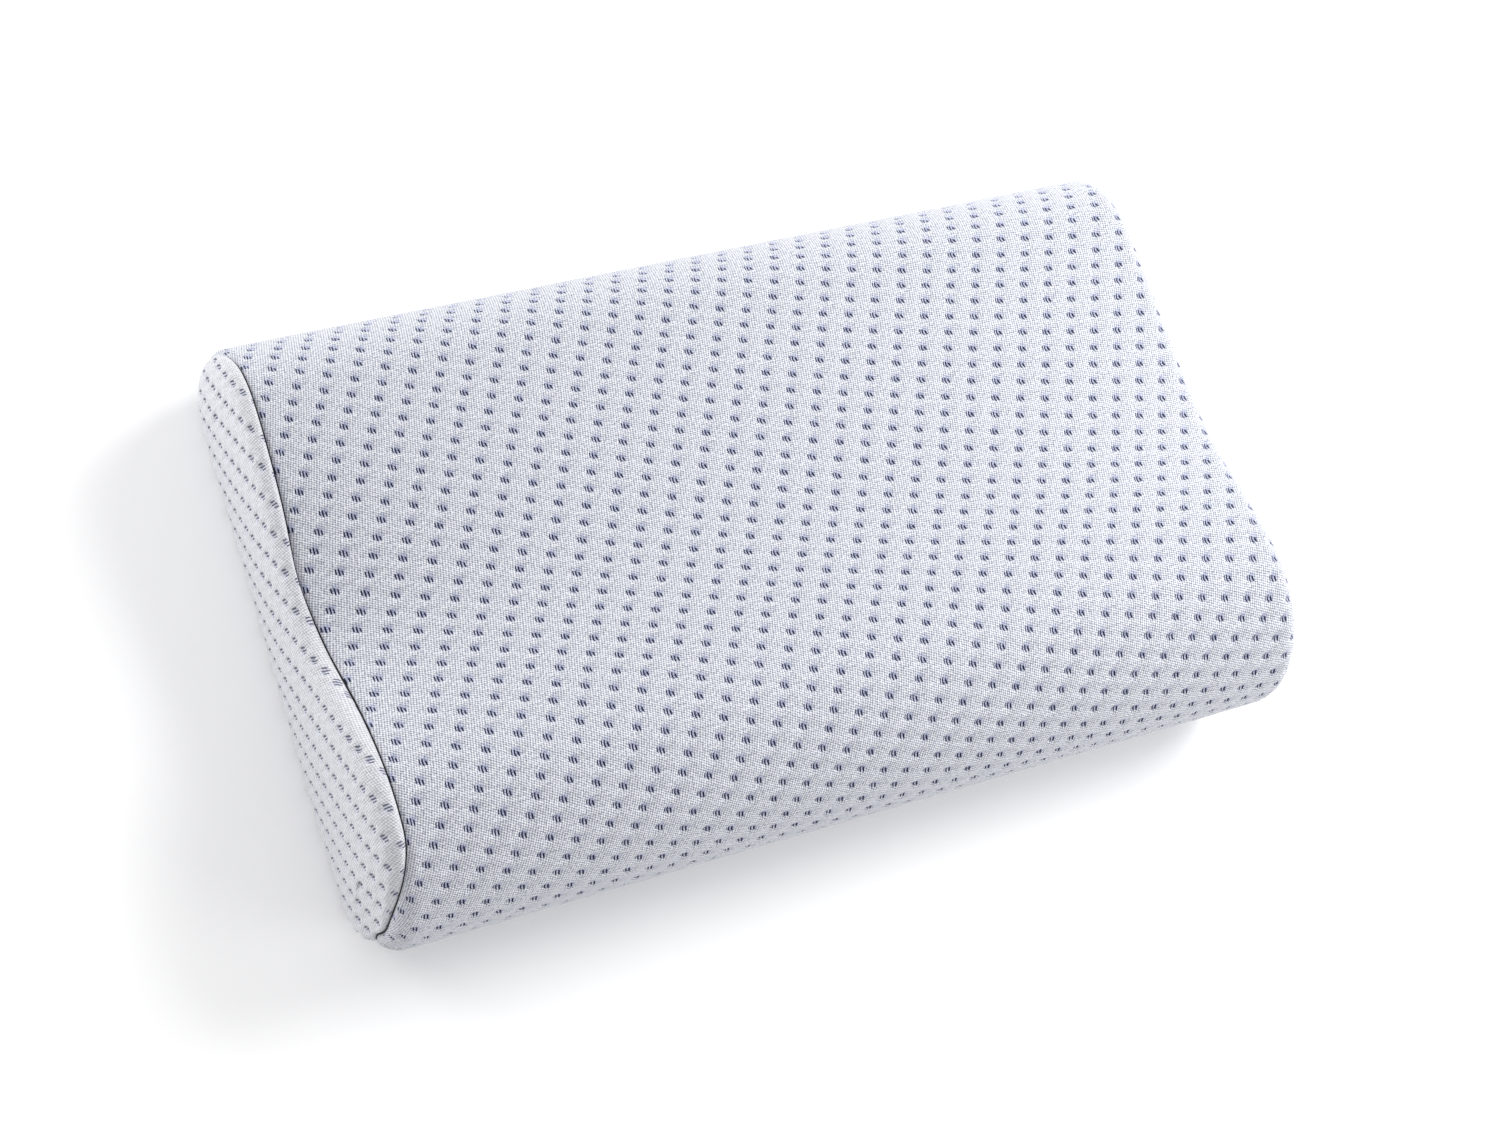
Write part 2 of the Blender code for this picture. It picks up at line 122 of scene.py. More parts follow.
# ---- The foam's outline, read from the frame ---------------------------------------------------
def cubic_path(points, count, closed=False):
    """count points along a smooth curve through the given points. A cubic runs between each two
    neighbours, and its slope at a point is that of the chord past it."""
    ends = (points[-1:], points[:1]) if closed else (points[:1], points[-1:])
    lined = np.vstack([ends[0], points, ends[1]])
    if closed:
        lined = np.vstack([lined, points[1:2]])
    knots = lined[1:-1]
    gap = np.linalg.norm(np.diff(lined, axis=0), axis=1)
    slope = (lined[2:] - lined[:-2]) / (gap[1:] + gap[:-1])[:, None]
    gap = gap[1:-1]
    at = np.concatenate([[0], np.cumsum(gap)])
    along = np.linspace(0, at[-1], count, endpoint=not closed)
    k = np.clip(np.searchsorted(at, along, "right") - 1, 0, len(gap) - 1)
    g = gap[k][:, None]
    t = (along - at[k])[:, None] / g
    return (
        knots[k] * (2 * t**3 - 3 * t**2 + 1)
        + slope[k] * g * (t**3 - 2 * t**2 + t)
        + knots[k + 1] * (3 * t**2 - 2 * t**3)
        + slope[k + 1] * g * (t**3 - t**2)
    )


def foam_outline():
    """The cross-section of the foam's straight part as points (y, z), from below the origin
    forwards, up, over and back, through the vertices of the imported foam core."""
    places = vertices("foam_core")
    straight = np.abs(places[:, 0]).min()
    ring = np.unique(places[np.abs(places[:, 0]) < straight + 1e-5][:, 1:].round(7), axis=0)
    middle = 30 * MM        # a height inside the foam: its outline is sorted by the angle from there
    turn = np.mod(np.arctan2(ring[:, 0], middle - ring[:, 1]), TAU)
    smooth = cubic_path(ring[np.argsort(-turn)], 4096, closed=True)
    start = np.argmin(np.abs(smooth[:, 0]) + 10 * (smooth[:, 1] > 20 * MM))
    return np.roll(smooth, -start, 0)


OUTLINE = foam_outline()
CLOSED = np.vstack([OUTLINE, OUTLINE[:1]])
ARCS = np.concatenate([[0], np.cumsum(np.linalg.norm(np.diff(CLOSED, axis=0), axis=1))])
ROUND = ARCS[-1]
HEADING = np.gradient(np.vstack([OUTLINE[-1:], CLOSED, OUTLINE[1:2]]), axis=0)[1:-1]
NORMALS = np.stack([HEADING[:, 1], -HEADING[:, 0]], 1)
NORMALS *= -1 if NORMALS[0, 1] > 0 else 1
NORMALS /= np.linalg.norm(NORMALS, axis=1, keepdims=True)


def contour(arc):
    """Point and outward normal of the foam's outline at a distance round it."""
    arc = np.mod(arc, ROUND)
    point = np.stack([np.interp(arc, ARCS, CLOSED[:, k]) for k in (0, 1)], -1)
    normal = np.stack([np.interp(arc, ARCS, NORMALS[:, k]) for k in (0, 1)], -1)
    return point, normal / np.linalg.norm(normal, axis=-1, keepdims=True)


def arcs_of(node):
    """Distance round the outline of each vertex of a CAD node, by the nearest outline point."""
    flat = np.unique(vertices(node)[:, 1:].round(6), axis=0)
    gaps = ((flat[:, None] - OUTLINE[None, ::4]) ** 2).sum(2)
    return ARCS[:-1:4][gaps.argmin(1)]


TOP_ARCS = arcs_of("top_panel")
FRONT_SEAM, ZIP_TOP = TOP_ARCS.min(), TOP_ARCS.max()
BOTTOM_ARCS = arcs_of("bottom_panel")
ZIP_BOTTOM = BOTTOM_ARCS[BOTTOM_ARCS > ROUND / 2].min()
ZIP_MIDDLE = (ZIP_TOP + ZIP_BOTTOM) / 2
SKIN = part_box("foam_core")[0].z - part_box("bottom_panel")[0].z
END_SEAM = (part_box("top_panel")[1].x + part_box("end_panel_right")[0].x) / 2
FOAM_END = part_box("foam_core")[1].x
FOAM_STRAIGHT = np.abs(vertices("foam_core")[:, 0]).min()
FOAM_EDGE = FOAM_END - FOAM_STRAIGHT
COIL_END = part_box("zip_coil_lower")[1].x


def bridge():
    """How far a taut sheet over both lobes lies above the cover's own contour, by y. The sheet is
    the upper envelope: at each y, the lowest of all straight lines that pass over every point."""
    arc = np.linspace(FRONT_SEAM, ZIP_TOP, 600)
    point, normal = contour(arc)
    skin = point + normal * SKIN
    top = skin[skin[:, 0].argmin(): skin[:, 0].argmax() + 1]
    slopes = np.linspace(-1, 1, 1201)[:, None]
    reach = (top[:, 1] - slopes * top[:, 0]).max(1, keepdims=True)
    rise = (reach + slopes * top[:, 0]).min(0) - top[:, 1]
    lobes = (top[:, 0] < 0, top[:, 0] > 0)
    crests = [top[np.where(lobe, top[:, 1], 0).argmax(), 0] for lobe in lobes]
    rise *= (top[:, 0] > crests[0]) & (top[:, 0] < crests[1])
    return top[:, 0], rise, arc[skin[:, 0].argmin()], arc[skin[:, 0].argmax()]


BRIDGE_Y, BRIDGE_RISE, TOP_STARTS, TOP_ENDS = bridge()


def cover_surface(run, arc, rise):
    """A point of the cover by its run along the pillow, its distance round the foam and its rise
    above it: the outline pushed out by rise, and over the dip lifted towards the taut sheet, less
    so near an end seam. Past the straight part at either end it goes round the foam's edge."""
    turn = np.clip((np.abs(run) - FOAM_STRAIGHT) / (FOAM_EDGE + SKIN), 0, None)
    rise = rise * (1 - EDGE_STRETCH * np.sin(turn))
    x = np.clip(run, -FOAM_STRAIGHT, FOAM_STRAIGHT) + np.sign(run) * (FOAM_EDGE + rise) * np.sin(turn)
    up = (FOAM_EDGE + rise) * np.cos(turn) - FOAM_EDGE
    point, normal = contour(arc)
    out = point + normal * up[..., None]
    left = (TAUTNESS - LEFT_TAUTNESS) * np.exp(-np.clip(END_SEAM + x, 0, None) / END_HOLD)
    right = (TAUTNESS - RIGHT_TAUTNESS) * np.exp(-np.clip(END_SEAM - x, 0, None) / END_HOLD)
    on_top = (arc > TOP_STARTS) & (arc < TOP_ENDS)
    lift = np.interp(out[..., 0], BRIDGE_Y, BRIDGE_RISE) * on_top * (TAUTNESS - left - right)
    return np.stack([x + 0 * arc, out[..., 0], out[..., 1] + lift], -1)


def nose_share(arc):
    """How fully the left end seam turns round the foam's edge: 1 at the front nose, less at the
    rear one, and 0 elsewhere."""
    up = np.mod(arc, ROUND) - FRONT_SEAM
    front = ramp(up, -5 * MM, 28 * MM) * ramp(-up, -108 * MM, -50 * MM)
    rear = ramp(up, 350 * MM, 395 * MM) * ramp(-up, -440 * MM, -405 * MM)
    return front + REAR_HOOK * rear


def seam_run(side, arc):
    """Run of an end seam from the pillow's middle. The left one wanders a little on top, out and
    in by two soft swells, and both noses draw it round the edge. The right one is even."""
    if side > 0:
        return FOAM_STRAIGHT + (FOAM_EDGE + SKIN) * RIGHT_WRAP + 0 * arc
    up = np.mod(arc, ROUND) - FRONT_SEAM
    out = np.exp(-((up - 250 * MM) / (20 * MM)) ** 2) - np.exp(-((up - 182 * MM) / (38 * MM)) ** 2)
    return END_SEAM + 0.3 * MM + SEAM_WANDER * out + LEFT_HOOK * nose_share(arc)


# ---- Grids and meshes --------------------------------------------------------------------------
def stations(low, high, roll_low, roll_high, step=KNIT_GRID):
    """Places from low to high a step apart, closer together where the cloth rolls over at an edge:
    there they follow r (1 - cos a). Their number is a whole number of backing steps, plus one."""
    def edge(roll):
        turns = max(4, int(np.ceil(roll * np.pi / 2 / step)))
        return roll * (1 - np.cos(np.linspace(0, np.pi / 2, turns + 1)))
    start, end = edge(roll_low), edge(roll_high)
    middle = high - low - roll_low - roll_high
    inner = int(np.ceil(middle / step))
    inner += -(inner + len(start) + len(end) - 2) % BACKING_STEP
    body = np.linspace(low + roll_low, high - roll_high, inner + 1)
    return np.concatenate([low + start[:-1], body, (high - end[:-1])[::-1]])


def rolled(distance, roll):
    """How far up a quarter round the cloth is, from 0 at its edge to 1 a roll's width in."""
    q = np.clip(1 - distance / roll, 0, 1)
    return np.sqrt(1 - q * q)


def grid_normals(grid):
    """Unit normals of a grid of points, from the cross product of its two directions."""
    across, along = np.gradient(grid, axis=0), np.gradient(grid, axis=1)
    normal = np.cross(across, along)
    return normal / np.maximum(np.linalg.norm(normal, axis=-1, keepdims=True), 1e-12)


def quads(numbers):
    """The faces of a grid of vertex numbers, one for each square of it."""
    return np.stack(
        [numbers[:-1, :-1], numbers[1:, :-1], numbers[1:, 1:], numbers[:-1, 1:]], -1
    ).reshape(-1, 4)


def make_piece(name, places, faces, finish, cloth=None, merge=0.0):
    """A smooth mesh object from vertices and arrays of faces, each array with its own number of
    corners. cloth gives each vertex its place on the flat cloth, in metres, as a UV map. Vertices
    within merge of each other become one, and then the faces are turned outwards."""
    mesh = bpy.data.meshes.new(name)
    corners = np.concatenate([f.ravel() for f in faces])
    sizes = np.concatenate([np.full(len(f), f.shape[1]) for f in faces])
    mesh.vertices.add(len(places))
    mesh.vertices.foreach_set("co", np.asarray(places, float).ravel())
    mesh.loops.add(len(corners))
    mesh.loops.foreach_set("vertex_index", corners.astype(np.int32))
    mesh.polygons.add(len(sizes))
    mesh.polygons.foreach_set("loop_start", (np.cumsum(sizes) - sizes).astype(np.int32))
    mesh.update(calc_edges=True)
    if cloth is not None:
        layer = mesh.uv_layers.new(name="cloth")
        layer.data.foreach_set("uv", np.asarray(cloth, float)[corners].ravel())
    work = bmesh.new()
    work.from_mesh(mesh)
    if merge:
        bmesh.ops.remove_doubles(work, verts=work.verts, dist=merge)
    if work.calc_volume(signed=True) < 0:
        bmesh.ops.reverse_faces(work, faces=work.faces)
    work.to_mesh(mesh)
    work.free()
    mesh.polygons.foreach_set("use_smooth", np.ones(len(mesh.polygons), bool))
    mesh.materials.append(finish)
    piece = bpy.data.objects.new(name, mesh)
    bpy.context.scene.collection.objects.link(piece)
    return piece


def rim(fine, coarse):
    """Faces between a row of outer vertices and the row of inner ones under every BACKING_STEP-th
    of them: each has one inner edge and the outer edges over it."""
    last = len(fine) - BACKING_STEP
    runs = [fine[k: last + k: BACKING_STEP] for k in range(BACKING_STEP)]
    runs.append(fine[BACKING_STEP::BACKING_STEP])
    return np.stack([*runs, coarse[1:], coarse[:-1]], -1)


def backed(name, outer, inner, cloth, finish, ring=False):
    """A closed sheet of cloth: a fine outer grid, a coarse inner grid with every BACKING_STEP-th
    place, and rims that join their edges. A ring's first row follows its last, and its last column
    closes on itself, so only its first column has a rim."""
    out = np.arange(outer[..., 0].size).reshape(outer.shape[:2])
    back = np.arange(inner[..., 0].size).reshape(inner.shape[:2]) + out.size
    places = np.vstack([outer.reshape(-1, 3), inner.reshape(-1, 3)])
    marks = np.vstack([cloth.reshape(-1, 2), cloth[::BACKING_STEP, ::BACKING_STEP].reshape(-1, 2)])
    if ring:
        out, back = np.vstack([out, out[:1]]), np.vstack([back, back[:1]])
    rims = [rim(out[:, 0], back[:, 0])]
    if not ring:
        rims += [
            rim(out[-1], back[-1]),
            rim(out[::-1, -1], back[::-1, -1]),
            rim(out[0, ::-1], back[0, ::-1]),
        ]
    return make_piece(name, places, [quads(out), quads(back)[:, ::-1], *rims], finish, marks,
                      merge=1e-6 if ring else 0.0)


def tube(name, places, finish, closed=False):
    """Closed bars from an array of (bars, stations, places round the profile): an open bar's two
    ends are flat faces, a closed one's last station joins its first."""
    numbers = np.arange(places[..., 0].size).reshape(places.shape[:3])
    around = np.concatenate([numbers, numbers[..., :1]], 2)
    if closed:
        around = np.concatenate([around, around[:, :1]], 1)
    faces = [np.concatenate([quads(one) for one in around])]
    if not closed:
        faces += [numbers[:, 0], numbers[:, -1, ::-1]]
    return make_piece(name, places.reshape(-1, 3), faces, finish)


def carried(name, path, side, up, profile, finish, closed=False):
    """A profile carried along paths: at each station its two numbers go along side and up. path is
    an array of paths, each a row of stations."""
    path = path if path.ndim == 3 else path[None]
    side, up = np.broadcast_to(side, path.shape), np.broadcast_to(up, path.shape)
    shape = profile[:, :1] * side[..., None, :] + profile[:, 1:] * up[..., None, :]
    places = path[..., None, :] + shape
    return tube(name, places, finish, closed)


def round_profile(width, height, count):
    """An ellipse as a profile."""
    turn = np.linspace(0, TAU, count, endpoint=False)
    return np.stack([np.cos(turn) * width / 2, np.sin(turn) * height / 2], 1)


def follow(path):
    """Unit headings along paths of stations."""
    heading = np.gradient(path, axis=-2)
    return heading / np.linalg.norm(heading, axis=-1, keepdims=True)


# ---- The quilted knit --------------------------------------------------------------------------
def quilt_depth(cloth, repeat):
    """How far the knit sinks at a place on the flat cloth: a soft round pit at each repeat of the
    pattern, and a slow swell between the pits. The swell is three cosine waves that all crest on the
    pits, and never add up to less than -1.5, so nothing stands above the plain cloth."""
    steps = cloth @ np.linalg.inv(repeat)
    near = (steps - np.round(steps)) @ repeat
    pit = np.exp(-(near**2).sum(-1) / (DIMPLE_RADIUS**2 * 0.5))
    waves = np.cos(TAU * steps[..., 0]) + np.cos(TAU * steps[..., 1])
    waves = waves + np.cos(TAU * (steps[..., 0] + steps[..., 1]))
    return DIMPLE_DEPTH * pit + QUILT_SWELL * (waves + 1.5)


def top_cloth(x, arc):
    """Where a point of the top panel lies on the flat cloth. The courses bow: towards the ends they
    run back, by a cubic of the two distances from the panel's middle."""
    u, v = x / TOP_HALF[0], (arc - FRONT_SEAM - TOP_MIDDLE) / TOP_HALF[1]
    aside = 16 + 11.8 * v**2 - 6 * v**3 - 4.8 * u**2 + 8.5 * u * v**2 - 6.3 * u**2 * v
    back = -35 - 14.1 * u**2 - 3.5 * u**3 - 5.8 * u**2 * v - 5.2 * u * v + 27 * v**3
    return np.stack([x + MM * aside, -TOP_HALF[1] * v - MM * back], -1)


def seam_folds(arc, from_seam):
    """How far the long panels sink beside the left seam, which gathers them in small folds. The
    folds are uneven, and deepest round the rear nose."""
    rear_nose = np.mod(arc, ROUND) - FRONT_SEAM - 378 * MM
    at_corner = np.exp(-(rear_nose / (26 * MM)) ** 2)
    uneven = 1.3 * np.sin(TAU * arc / (23 * MM))
    fold = 0.5 + 0.5 * np.cos(TAU * (arc + 0.3 * from_seam) / PUCKER_PITCH + uneven)
    fade = np.exp(-from_seam / (7 * MM)) * ramp(from_seam, 0.0, 3 * MM)
    return (PUCKER_DEPTH + CORNER_PUCKER * at_corner) * fold * fade


def long_panel(name, finish, low, high, low_hem, high_hem):
    """The top or bottom panel: a grid over the run along the pillow and the distance round it. It
    rolls into its seams by a quarter round, and where it is hemmed it rises over the zip's tape."""
    left, right = SEAM_WIDTH / 2 - END_SEAM, seam_run(1, 0) - SEAM_WIDTH / 2
    rolls = [HEM_ROLL if hem else SEAM_ROLL for hem in (low_hem, high_hem)]
    run, arc = np.meshgrid(
        stations(left, right, SEAM_ROLL, SEAM_ROLL / 2), stations(low, high, *rolls), indexing="ij"
    )
    full = SKIN + 0 * run
    raised = rolled(run - left, SEAM_ROLL) * rolled(right - run, SEAM_ROLL / 2)
    for inset, hem, roll in ((arc - low, low_hem, rolls[0]), (high - arc, high_hem, rolls[1])):
        full = full + (HEM_RISE * ramp(-inset, -HEM_RUN, -HEM_ROLL) if hem else 0)
        raised = raised * rolled(inset, roll)
    bed = SEAM_FLOOR + full - SKIN
    meet = HEM_MEET * ramp(np.abs(run), COIL_END + 5 * MM, END_SEAM)
    by_low, by_high = ramp(-arc, -low - 25 * MM, -low), ramp(arc, high - 25 * MM, high)
    arc = arc + meet * (high_hem * by_high - low_hem * by_low)
    from_seam = run - left
    run = run - (seam_run(-1, arc) - END_SEAM) * np.exp(-from_seam / SEAM_PULL)
    base = cover_surface(run, arc, bed + (full - bed) * raised)
    cloth = top_cloth(run, arc)
    inset = np.minimum(np.minimum(from_seam, right - run), np.minimum(arc - low, high - arc))
    sunk = quilt_depth(cloth, TOP_REPEAT) * ramp(inset, 1 * MM, 6 * MM) + seam_folds(arc, from_seam)
    outer = base - grid_normals(base) * sunk[..., None]
    coarse = (slice(None, None, BACKING_STEP),) * 2
    under = np.minimum(bed - 0.2 * MM, full - KNIT_THICKNESS)[coarse]
    return backed(name, outer, cover_surface(run[coarse], arc[coarse], under), cloth, finish)


def ring_arcs(count):
    """Distances round the outline from the front nose, over the top to the rear nose and back
    beneath. Each place above has one below it at the same share of the way."""
    front, rear = ARCS[OUTLINE[:, 0].argmin()], ARCS[OUTLINE[:, 0].argmax()]
    over = np.linspace(front, rear, count // 2, endpoint=False)
    return np.concatenate([over, np.linspace(rear, ROUND + front, count // 2, endpoint=False)])


def spine(arcs, short=30 * MM):
    """The middle line of the outline, for each place of a ring: halfway between the places above
    and below, and no nearer a nose than short."""
    point = contour(arcs)[0]
    middle = (point + point[-np.arange(len(arcs))]) / 2
    half = middle[: len(arcs) // 2 + 1]
    y = np.clip(middle[:, 0], half[0, 0] + short, half[-1, 0] - short)
    return np.stack([y, np.interp(y, half[:, 0], half[:, 1])], 1)


def closing_share(count):
    """Shares of the way from a ring to its spine, from just past 0 to 1."""
    return np.linspace(0, 1, count + 1)[1:]


def end_panel(name, finish, side, tautness, turned):
    """An end panel: a profile of (reach past the end seam's plane, rise above the foam) carried
    round the outline, then straight on to the outline's middle line, with a slight crown. turned
    blends two profiles, from a seam flush with the end to one round the edge. The panel stands
    out more at the front lobe than at the rear one, and starts where the seam is."""
    count = 8 * int(ROUND / KNIT_GRID / 8)
    arcs = ring_arcs(count)
    profiles, lengths = [], []
    for edge in (FLUSH_EDGE, TURNED_EDGE):
        path = cubic_path(np.array(edge) * MM, 400)
        along = np.concatenate([[0], np.cumsum(np.linalg.norm(np.diff(path, axis=0), axis=1))])
        lengths.append(along[-1])
        at = stations(0, lengths[0], 2 * MM, 1 * MM)
        profiles.append([np.interp(at / at[-1], along / along[-1], path[:, k]) for k in (0, 1)])
    blend = turned(arcs)[:, None]
    reach, rise = (flush + (round_edge - flush) * blend for flush, round_edge in zip(*profiles))
    length = (lengths[0] + (lengths[1] - lengths[0]) * blend) * (1 - at / at[-1])
    share = closing_share(32 + (1 - len(at)) % BACKING_STEP)
    point, normal = contour(arcs)
    y_front, y_rear = OUTLINE[:, 0].min(), OUTLINE[:, 0].max()
    fuller = 1.12 - 0.3 * ramp(point[:, :1], y_front + 50 * MM, y_rear - 30 * MM)

    def spread(rise):
        """(y, z) of the ring's rows at the given rises, and on to the spine."""
        rows = point[:, None] + normal[:, None] * rise[..., None]
        lift = np.interp(rows[..., 0], BRIDGE_Y, BRIDGE_RISE) * tautness
        above = (arcs > TOP_STARTS) & (arcs < TOP_ENDS)
        rows[..., 1] += lift * above[:, None]
        last, middle = rows[:, -1:], spine(arcs)[:, None]
        return np.concatenate([rows, last + (middle - last) * share[None, :, None]], 1)

    crown = reach[:, -1:] + CROWN * (1 - (1 - share) ** 2)
    depth = np.concatenate([reach, crown], 1)
    depth = depth[:, :1] + (depth - depth[:, :1]) * fuller
    base = np.concatenate([side * (END_SEAM + depth)[..., None], spread(rise)], 2)
    seam = cover_surface(side * (seam_run(side, arcs) + SEAM_WIDTH / 2), arcs, SEAM_FLOOR + 0 * arcs)
    inset = np.concatenate([at, at[-1] + share * 30 * MM])
    base += (seam - base[:, 0])[:, None] * (1 - ramp(inset, 0, 6 * MM))[None, :, None]
    cloth = spread(rise[:, -1:] + length) * (-1, 1)
    normals = grid_normals(np.concatenate([base[-1:], base, base[:1]]))[1:-1]
    normals *= np.sign((normals[..., 0] * side).sum())
    normals[:, -1] = (side, 0, 0)
    sunk = quilt_depth(cloth, END_REPEAT) * ramp(inset, 4 * MM, 9 * MM)
    coarse = (slice(None, None, BACKING_STEP),) * 2
    thick = 0.3 * MM + (KNIT_THICKNESS - 0.3 * MM) * ramp(inset, 0, 4 * MM)
    inner = (base - normals * thick[None, :, None])[coarse]
    return backed(name, base - normals * sunk[..., None], inner, cloth, finish, ring=True)


def closed_form(name, finish, off, step):
    """The foam's whole shape pushed out by off: rows of the outline along the pillow, a quarter
    round at each end's edge, and each end closed on the outline's middle line."""
    rows = 8                                    # on each end's edge, and again on its face
    turn = np.linspace(np.pi / 2, 0, rows, endpoint=False)
    radius = FOAM_EDGE + off
    straight = np.linspace(-FOAM_STRAIGHT, FOAM_STRAIGHT, 2 + int(2 * FOAM_STRAIGHT / step))
    x = np.concatenate([np.full(rows, FOAM_END + off), FOAM_STRAIGHT + radius * np.sin(turn)])
    rise = np.concatenate([np.full(rows, -FOAM_EDGE), radius * np.cos(turn) - FOAM_EDGE])
    closing = np.concatenate([closing_share(rows)[::-1], np.zeros(rows)])
    x = np.concatenate([-x, straight, x[::-1]])
    rise = np.concatenate([rise, np.full(len(straight), off), rise[::-1]])
    closing = np.concatenate([closing, np.zeros(len(straight)), closing[::-1]])
    arcs = ring_arcs(8 * int(ROUND / step / 8))
    point, normal = contour(arcs)
    flat = point[:, None] + normal[:, None] * rise[None, :, None]
    flat = flat + (spine(arcs)[:, None] - flat) * closing[None, :, None]
    places = np.concatenate([np.broadcast_to(x[None, :, None], (*flat.shape[:2], 1)), flat], 2)
    numbers = np.arange(places[..., 0].size).reshape(places.shape[:2])
    faces = quads(np.vstack([numbers, numbers[:1]]))
    return make_piece(name, places.reshape(-1, 3), [faces], finish, merge=1e-6)


# ---- Nodes -------------------------------------------------------------------------------------
def colour(hexes):
    """An sRGB hex value as a linear colour with full alpha."""
    s = np.array([int(hexes[k: k + 2], 16) for k in (1, 3, 5)]) / 255
    return (*np.where(s <= 0.04045, s / 12.92, ((s + 0.055) / 1.055) ** 2.4), 1.0)


def add(tree, kind, links=(), **settings):
    """Adds a node with its settings. links maps an input's name or number to a socket or a value."""
    node = tree.nodes.new(kind)
    for key, value in settings.items():
        setattr(node, key, value)
    for key, value in dict(links).items():
        if isinstance(value, bpy.types.NodeSocket):
            tree.links.new(value, node.inputs[key])
        else:
            node.inputs[key].default_value = value
    return node


def material(name, **surface):
    """A new material with a Principled shader, whose own sockets take the given values."""
    made = bpy.data.materials.new(name)
    made.use_nodes = True
    shader = made.node_tree.nodes["Principled BSDF"]
    for key, value in surface.items():
        shader.inputs[key.replace("_", " ")].default_value = value
    return made, made.node_tree, shader


def from_dimple(tree, cloth, repeat):
    """The place on the flat cloth, measured from the nearest dimple of the pattern."""
    to_steps = np.linalg.inv(repeat)
    near = cloth
    for k in (0, 1):
        step = add(tree, "ShaderNodeVectorMath", {0: cloth, 1: (*to_steps[:, k], 0)},
                   operation="DOT_PRODUCT")
        whole = add(tree, "ShaderNodeMath", {0: step.outputs["Value"]}, operation="ROUND")
        jump = add(tree, "ShaderNodeVectorMath", {0: (*repeat[k], 0), "Scale": whole.outputs[0]},
                   operation="SCALE")
        near = add(tree, "ShaderNodeVectorMath", {0: near, 1: jump.outputs[0]},
                   operation="SUBTRACT").outputs[0]
    return near


def strokes(tree, near):
    """1 where the coloured yarn shows and 0 elsewhere: on three ribs, 1.6 mm apart, which lean a
    little, and the middle one is the longest."""
    split = add(tree, "ShaderNodeSeparateXYZ", {0: near})
    across, along = split.outputs[0], split.outputs[1]
    rib = add(tree, "ShaderNodeMath", {0: across, 1: 0.78 * MM}, operation="PINGPONG")
    lean = add(tree, "ShaderNodeMath", {0: across, 1: -0.35, 2: along}, operation="MULTIPLY_ADD")
    reach = add(tree, "ShaderNodeMath", {0: lean.outputs[0]}, operation="ABSOLUTE")
    side = add(tree, "ShaderNodeMath", {0: across}, operation="ABSOLUTE")
    taper = add(tree, "ShaderNodeMath", {0: side.outputs[0], 1: 0.35, 2: reach.outputs[0]},
                operation="MULTIPLY_ADD")
    inside = 1.0
    for place, full, none in ((rib, 0.34, 0.48), (taper, 1.7, 2.1), (side, 1.9, 2.2)):
        shown = add(tree, "ShaderNodeMapRange",
                    {0: place.outputs[0], 1: full * MM, 2: none * MM, 3: 1, 4: 0})
        inside = add(tree, "ShaderNodeMath", {0: inside, 1: shown.outputs[0]},
                     operation="MULTIPLY").outputs[0]
    return inside


def stitches(tree, cloth):
    """The knit's loops, in ribs that run forwards: one wave across the ribs and one, leaning, along
    them. They are really 0.75 mm apart, and drawn coarser so that they show."""
    rows = []
    for lean, pitch in ((np.radians(14), 1.3 * MM), (np.radians(-62), 1.15 * MM)):
        turned = add(tree, "ShaderNodeVectorMath", {0: cloth, 1: (np.cos(lean), np.sin(lean), 0)},
                     operation="DOT_PRODUCT")
        phase = add(tree, "ShaderNodeMath", {0: turned.outputs["Value"], 1: TAU / pitch},
                    operation="MULTIPLY")
        rows.append(add(tree, "ShaderNodeMath", {0: phase.outputs[0]}, operation="SINE").outputs[0])
    return add(tree, "ShaderNodeMath", {0: rows[0], 1: rows[1]}, operation="ADD").outputs[0]


